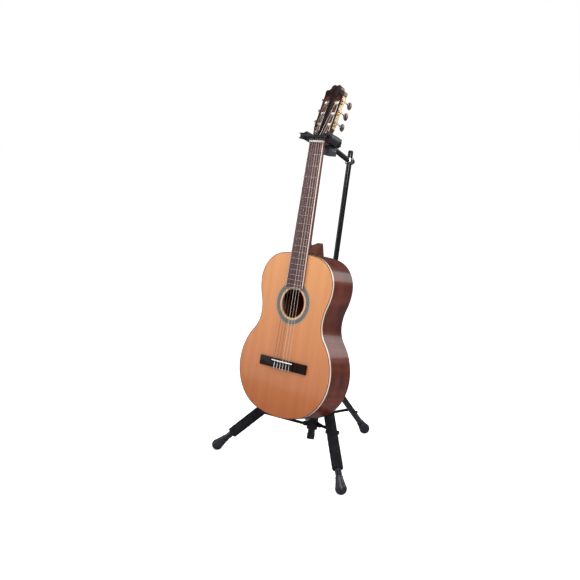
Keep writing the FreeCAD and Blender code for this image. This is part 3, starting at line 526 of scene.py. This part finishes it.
stringing = {"low": 58, "high": 43, "saddleTop": 11.5, "nutTop": 9.05, "nutAt": 652.5,
             "radii": (0.55, 0.5, 0.45, 0.5, 0.42, 0.36), "tieExtra": 0.15, "turns": 5, "gap": 0.1,
             "rollers": (60, 95, 130), "rollerDeep": 9, "rollerRadius": 5, "across": 21, "inward": 3.2}
woundSilver = plain("woundSilver", (0.42, 0.41, 0.40), 0.3, metallic=1.0, scale=400, spread=0.15,
                    matrix=guitarFrame)
clearNylon = plain("clearNylon", (0.66, 0.58, 0.48), 0.2, coat=0.5, scale=200, spread=0.05,
                   matrix=guitarFrame)
toHead = headFrame.inverted() @ guitarFrame
for number in range(6):
    share = number / 5 - 0.5
    radius = stringing["radii"][number]
    low, high = stringing["low"] * share, stringing["high"] * share
    finish = woundSilver if number < 3 else clearNylon
    side = -1 if number < 3 else 1
    # the highest machine takes the innermost string on each side
    machine = number if number < 3 else 5 - number
    height = stringing["rollers"][machine]
    body = "string_roller_%d" % (machine + 1 if number < 3 else machine + 4)
    tie = [(low + 1.6, -9.9, -6.0), (low + 1.8, -9.9 - radius, -14), (low + 1.2, -9.9 - radius, -21.5),
           (low, -7.5, -23.4), (low, -6.6, -21.5), (low, -6.6, -6), (low, -8.6, -4.0),
           (low, -stringing["saddleTop"] - radius, -0.8), (low, -stringing["saddleTop"] - radius, 0.8)]
    wire("string_tie_%d" % (number + 1), tie, radius + stringing["tieExtra"], bone, "guitar", guitarFrame)
    nutEnd = (high, -stringing["nutTop"] - radius, stringing["nutAt"])
    span = [(low, -stringing["saddleTop"] - radius, 0), nutEnd]
    replaced = {0: ("bass_strings",), 3: ("treble_strings",)}.get(number, ())
    wire("string_%d" % (number + 1), span, radius, finish, "guitar", guitarFrame, replaced, smooth=False)
    start = toHead @ (Vector(nutEnd) * mm) / mm
    across = side * (stringing["across"] - stringing["inward"] * machine)
    wound = stringing["rollerRadius"] + radius
    # the string arrives just inside the first turn, so the turning roller leaves it free
    end = (across - side * (2 * radius + 0.15), stringing["rollerDeep"] - wound, height - 0.5)
    wire("string_head_%d" % (number + 1), [tuple(start), end], radius, finish, "guitar", headFrame,
         smooth=False)
    turns = []
    for step in range(stringing["turns"] * 12 + 1):
        angle = math.tau * step / 12
        turns.append((across + side * step / 12 * (2 * radius + stringing["gap"]),
                      stringing["rollerDeep"] - wound * math.cos(angle), height + wound * math.sin(angle)))
    wire("string_turns_%d" % (number + 1), turns, radius, finish, body, headFrame)
print("strings on")

# tuning machines: toothed gear, threaded worm, stem collars and a pearl button each
machineSet = {"across": 37, "gearRadius": 4.3, "gearThick": 3.2, "toothHigh": 0.7, "teeth": 14, "wormRise": 7,
              "threads": 6, "threadPitch": 1.5, "buttonOut": 40, "buttonHalf": (4.4, 9.5, 11.8)}
for number in range(6):
    side = -1 if number < 3 else 1
    height = stringing["rollers"][number % 3]
    key, roller = "tuner_key_%d" % (number + 1), "string_roller_%d" % (number + 1)
    across, keyHeight = side * machineSet["across"] * mm, (height + machineSet["wormRise"]) * mm
    lying = headFrame @ Matrix.Translation((0, stringing["rollerDeep"] * mm, height * mm))
    lying = lying @ Matrix.Rotation(math.pi / 2, 4, "Y")
    if side < 0:
        lying = lying @ Matrix.Rotation(math.pi, 4, "X")
    barrel = [(0, 6), (3, 6), (3, 10), (4.6, 10), (5, 10.4), (5, 28.2), (4.6, 28.6), (3, 28.6), (3, 35.3),
              (0, 35.3)]
    lathe("roller_barrel_%d" % (number + 1), barrel, lying, whiteBarrel, roller, (roller,), steps=32)
    gear = bmesh.new()
    gearRadius = machineSet["gearRadius"] * mm
    bmesh.ops.create_cone(gear, cap_ends=True, segments=2 * machineSet["teeth"], radius1=gearRadius,
                          radius2=gearRadius, depth=machineSet["gearThick"] * mm)
    sides = [face for face in gear.faces if len(face.verts) == 4]
    sides.sort(key=lambda face: math.atan2(face.calc_center_median().y, face.calc_center_median().x))
    for face in sides[::2]:
        out = face.normal * machineSet["toothHigh"] * mm
        grown = bmesh.ops.extrude_discrete_faces(gear, faces=[face])["faces"][0]
        bmesh.ops.translate(gear, verts=grown.verts, vec=out)
    addPiece("gear_%d" % (number + 1), gear, brassGold, roller,
             matrix=lying @ Matrix.Translation((0, 0, machineSet["across"] * mm)))
    lathe("gear_screw_%d" % (number + 1), [(0, 40), (1.6, 39.9), (2, 39.4), (2, 38.6), (0, 38.6)],
          lying, brassGold, roller, steps=24)
    upright = headFrame @ Matrix.Translation((across, 0, keyHeight))
    upright = upright @ Matrix.Rotation(-math.pi / 2, 4, "X")
    worm = [(0, 0.4), (1.6, 0.4), (1.6, 4.2)]
    for turn in range(machineSet["threads"]):
        start = 4.4 + turn * machineSet["threadPitch"]
        worm += [(1.15, start), (1.15, start + 0.4), (1.65, start + 0.75), (1.65, start + 1.0)]
    worm += [(1.6, 13.8), (1.6, 17), (2.3, 17.2), (2.3, 18.2), (1.6, 18.6), (1.5, 27), (2.1, 28), (2.6, 29.5),
             (2.6, 31), (2.2, 32.5), (0, 32.5)]
    lathe("key_stem_%d" % (number + 1), worm, upright, brassGold, key, (key,), steps=24)
    button = bmesh.new()
    bmesh.ops.create_uvsphere(button, u_segments=32, v_segments=20, radius=1)
    halfThick, halfLong, halfWide = (half * mm for half in machineSet["buttonHalf"])
    for vert in button.verts:
        flat = math.hypot(vert.co.y, vert.co.z)
        vert.co.x *= halfThick * (0.82 + 0.18 * flat)
        vert.co.z *= halfWide * (1 + 0.07 * vert.co.y)
        vert.co.y *= halfLong
    addPiece("key_button_%d" % (number + 1), button, pearlButton, key,
             matrix=headFrame @ Matrix.Translation((across, machineSet["buttonOut"] * mm, keyHeight)))
print("tuning machines made")


# the stand

legSet = {"reach": 27, "hub": 203, "front": (43.68, 383.7), "rear": (52.3, 311.5),
          "foamLow": 46, "foamHigh": 322, "foamRadius": 16.4, "foamSlim": 14.85, "slimEnd": 72,
          "flare": 12, "foamBore": 9.6, "rim": 2.5, "clear": 0.35, "boreSkip": 12, "reachOut": 30,
          "bootHigh": 37, "bootBore": 9.55, "ball": 17}
guitarShell = bmesh.new()
for name in ("side_bass", "side_treble", "back_plate", "back_binding", "top_binding", "soundboard"):
    guitarShell.from_mesh(nodes[name].data)
guitarSkin = BVHTree.FromBMesh(guitarShell)
guitarShell.free()


def legFrame(azimuth, angle):
    around = mastFrame @ Matrix.Rotation(math.radians(azimuth), 4, "Z")
    return around @ Matrix.Translation((legSet["reach"] * mm, 0, legSet["hub"] * mm)) @ Matrix.Rotation(
        math.radians(180 - angle), 4, "Y")


def foamSleeve(name, matrix, body):
    # a soft tube: rounded rims, faint hand-squeezed waves, slimmer where the folded collar lies beside it
    low, high, radius = legSet["foamLow"], legSet["foamHigh"], legSet["foamRadius"]
    slim, rim = legSet["foamSlim"], legSet["rim"]
    profile = [(legSet["foamBore"], low)]
    for step in range(5):
        angle = math.radians(-90 + 90 * step / 4)
        profile.append((slim - rim + rim * math.cos(angle), low + rim + rim * math.sin(angle)))
    for step in range(1, 48):
        along = low + rim + (high - low - 2 * rim) * step / 48
        full = slim + (radius - slim) * min(1, max(0, (along - legSet["slimEnd"]) / legSet["flare"]))
        profile.append((full - 0.12 + 0.12 * math.sin(step * 1.7) + 0.08 * math.sin(step * 4.1), along))
    for step in range(5):
        angle = math.radians(90 * step / 4)
        profile.append((radius - rim + rim * math.cos(angle), high - rim + rim * math.sin(angle)))
    profile.append((legSet["foamBore"], high))

    def giveWay(shape):
        # the foam is pressed in where the guitar's back lies against it
        for vert in shape.verts:
            spoke = Vector((vert.co.x, vert.co.y, 0))
            if spoke.length < legSet["boreSkip"] * mm:
                continue
            start = matrix @ Vector((0, 0, vert.co.z))
            outward = (matrix.to_3x3() @ spoke).normalized()
            hit = guitarSkin.ray_cast(start, outward, legSet["reachOut"] * mm)[3]
            if hit is not None and hit - legSet["clear"] * mm < spoke.length:
                inward = (hit - legSet["clear"] * mm) / spoke.length
                vert.co.x *= inward
                vert.co.y *= inward

    piece = lathe(name + "_sleeve", profile, matrix, foam, body, (name,), steps=96, closed=True,
                  adjust=giveWay)


# pear-shaped rubber boots, cut flat where they stand on the floor
soleGap = 0.00005
for name, azimuth, kind in (("front_left", -150, "front"), ("front_right", -30, "front"),
                            ("rear", 90, "rear")):
    angle, length = legSet[kind]
    matrix = legFrame(azimuth, angle)
    if kind == "front":
        foamSleeve("foam_" + name, matrix, "leg_" + name)
    top, bore, ball = length - legSet["bootHigh"], legSet["bootBore"], legSet["ball"]
    profile = [(bore, top), (10.8, top), (11.4, top + 0.8), (11.4, top + 3.4), (10.9, top + 4),
               (10.9, top + 5.6), (11.5, top + 6.2), (12.2, top + 12)]
    for step in range(12):
        turn = math.radians(-22 + 112 * step / 12)
        profile.append((ball * math.cos(turn), length + ball * math.sin(turn)))
    profile += [(0, length + ball), (0, length - 8), (bore, length - 8)]
    foot = lathe("foot_%s_boot" % name, profile, matrix, rubber, "leg_" + name, ("foot_" + name,),
                 steps=56, closed=True)
    cut = bmesh.new()
    cut.from_mesh(foot.data)
    whole = cut.verts[:] + cut.edges[:] + cut.faces[:]
    bmesh.ops.bisect_plane(cut, geom=whole, plane_co=(0, 0, soleGap), plane_no=(0, 0, 1), clear_inner=True)
    rim = [edge for edge in cut.edges if len(edge.link_faces) == 1]
    bmesh.ops.contextual_create(cut, geom=rim)
    cut.to_mesh(foot.data)
    cut.free()
print("legs dressed")

# yoke pads: ribbed rubber sleeves on the two arms, which drop to the rear
yokeSet = {"across": 42.4, "height": 668, "front": -13, "tilt": 9.5, "start": 2.2, "end": 50.6,
           "radius": 13.2, "bore": 8.05, "ribs": 6, "pitch": 6.4, "boltDeep": (59, 70), "boltHigh": 637}
for name, side in (("left", -1), ("right", 1)):
    arm = guitarFrame @ Matrix.Translation(Vector((side * yokeSet["across"], yokeSet["front"],
                                                   yokeSet["height"])) * mm)
    arm = arm @ Matrix.Rotation(math.radians(-90 - yokeSet["tilt"]), 4, "X")
    bore, outer, start, end = (yokeSet[key] for key in ("bore", "radius", "start", "end"))
    profile = [(bore, start), (outer - 3, start), (outer - 1, start + 0.7), (outer, start + 2.4)]
    for rib in range(yokeSet["ribs"]):
        low = start + 6 + rib * yokeSet["pitch"]
        profile += [(outer, low), (outer - 0.7, low + 0.6), (outer - 0.7, low + 1.6), (outer, low + 2.2)]
    profile += [(outer, end - 2), (outer - 2, end), (bore, end)]
    lathe("yoke_sleeve_" + name, profile, arm, rubber, "upper_mast", ("yoke_pad_" + name,), closed=True)
for number, deep in enumerate(yokeSet["boltDeep"]):
    bolt = guitarFrame @ Matrix.Translation(Vector((12, deep, yokeSet["boltHigh"] - number)) * mm)
    lathe("hub_bolt_%d" % (number + 1),
          [(0, 3.0), (1.4, 3.0), (1.4, 2.0), (2.6, 2.0), (3.0, 1.7), (3.0, 0), (0, 0)],
          bolt @ Matrix.Rotation(math.pi / 2, 4, "Y"), bright, "upper_mast", steps=32)
# the bright ring round the yoke's clamp
ring = roundedProfile(11.55, 12.4, 849.5, 866.5, 0.6)
lathe("mast_ring", ring, mastFrame, bright, "upper_mast", closed=True)
print("yoke dressed")
